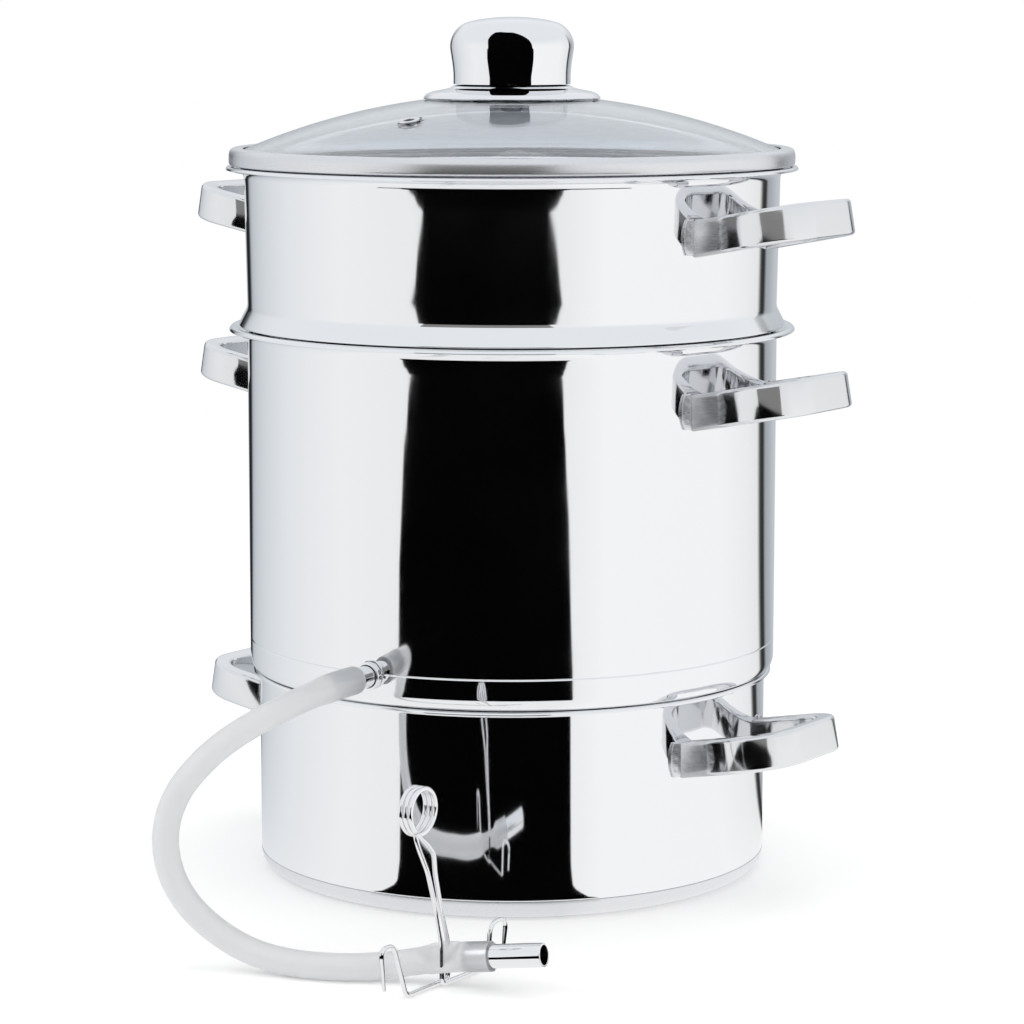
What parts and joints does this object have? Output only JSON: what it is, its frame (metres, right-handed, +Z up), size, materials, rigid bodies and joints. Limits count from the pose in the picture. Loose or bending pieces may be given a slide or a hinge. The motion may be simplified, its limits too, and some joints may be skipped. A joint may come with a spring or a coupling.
{
  "type": "steam juicer",
  "caption": "Stacking stainless steam juicer: water pot, juice kettle with steam cone and outlet hose, perforated fruit basket and domed glass lid.",
  "frame": {"origin": "centre of the underside of the water pot", "axes": "+Z up along the stack; the loop handles lie on X; the juice outlet points along -Y, turned 3.5 degrees towards +X"},
  "size_m": [0.3592, 0.3972, 0.4187],
  "materials": {
    "mirror_steel": "mirror polished stainless steel",
    "satin_steel": "satin stainless steel",
    "core_aluminium": "plain rolled aluminium",
    "spring_wire": "bright drawn spring wire",
    "clear_glass": "clear tempered glass",
    "milky_silicone": "translucent white silicone",
    "seal_silicone": "white silicone"
  },
  "bodies": {
    "water_pot": {"base_cap": "satin_steel", "base_core_disc": "core_aluminium", "base_pot_shell": "mirror_steel", "pot_handle_right": "mirror_steel", "pot_handle_left": "mirror_steel", "pot_tab_right_front": "mirror_steel", "pot_tab_right_back": "mirror_steel", "pot_tab_left_front": "mirror_steel", "pot_tab_left_back": "mirror_steel"},
    "juice_kettle": {"kettle_wall": "mirror_steel", "kettle_floor": "mirror_steel", "steam_cone": "satin_steel", "outlet_spigot": "mirror_steel", "spigot_collar": "mirror_steel", "kettle_handle_right": "mirror_steel", "kettle_handle_left": "mirror_steel", "kettle_tab_right_front": "mirror_steel", "kettle_tab_right_back": "mirror_steel", "kettle_tab_left_front": "mirror_steel", "kettle_tab_left_back": "mirror_steel", "juice_hose": "milky_silicone", "hose_nozzle": "mirror_steel", "clamp_spring": "spring_wire"},
    "pinch_lever": {"clamp_lever": "spring_wire"},
    "fruit_basket": {"basket_wall": "mirror_steel", "colander_wall": "satin_steel", "sieve_floor": "satin_steel", "basket_handle_right": "mirror_steel", "basket_handle_left": "mirror_steel", "basket_tab_right_front": "mirror_steel", "basket_tab_right_back": "mirror_steel", "basket_tab_left_front": "mirror_steel", "basket_tab_left_back": "mirror_steel"},
    "glass_lid": {"lid_rim": "satin_steel", "lid_glass": "clear_glass", "vent_grommet": "satin_steel", "knob_foot": "mirror_steel", "knob_seal": "seal_silicone", "lid_knob": "mirror_steel", "knob_washer": "satin_steel", "knob_screw": "satin_steel"}
  },
  "joints": [
    {"name": "kettle_lift", "type": "slide", "parent": "water_pot", "child": "juice_kettle", "axis": [0, 0, 1], "range_m": [0, 0.1]},
    {"name": "basket_lift", "type": "slide", "parent": "juice_kettle", "child": "fruit_basket", "axis": [0, 0, 1], "range_m": [0, 0.14]},
    {"name": "lid_lift", "type": "slide", "parent": "fruit_basket", "child": "glass_lid", "axis": [0, 0, 1], "range_m": [0, 0.1]},
    {"name": "clamp_squeeze", "type": "hinge", "parent": "juice_kettle", "child": "pinch_lever", "pos_m": [0.1029, -0.2248, 0.0806], "axis": [1, 0, 0], "range_deg": [0, 6], "stiffness_Nm_per_rad": 0.3, "springref_deg": -11.46}
  ]
}
